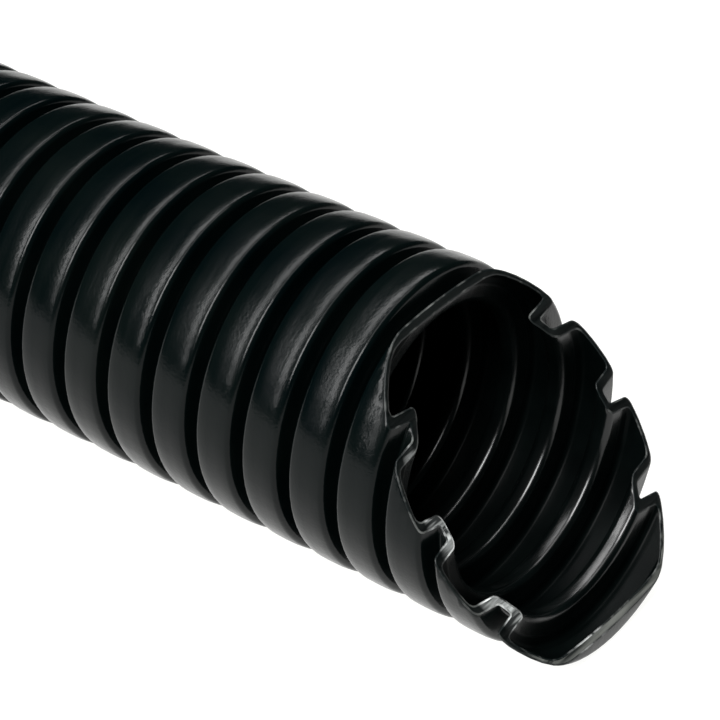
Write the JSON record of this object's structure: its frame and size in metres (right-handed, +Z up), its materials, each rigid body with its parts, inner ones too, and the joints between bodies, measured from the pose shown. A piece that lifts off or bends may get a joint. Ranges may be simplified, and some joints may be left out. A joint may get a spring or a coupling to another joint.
{
  "type": "corrugated conduit",
  "caption": "Straight length of black single-wall corrugated cable conduit with parallel rings, one end cut square and the other cut at a slant.",
  "frame": {"origin": "under the middle of the conduit's length, on the surface that it lies on", "axes": "+X along the axis towards the slanted end, +Z up"},
  "size_m": [0.9996, 0.05, 0.05],
  "materials": {
    "black_polymer": "satin"
  },
  "bodies": {
    "root": {"conduit": "black_polymer"}
  },
  "joints": []
}
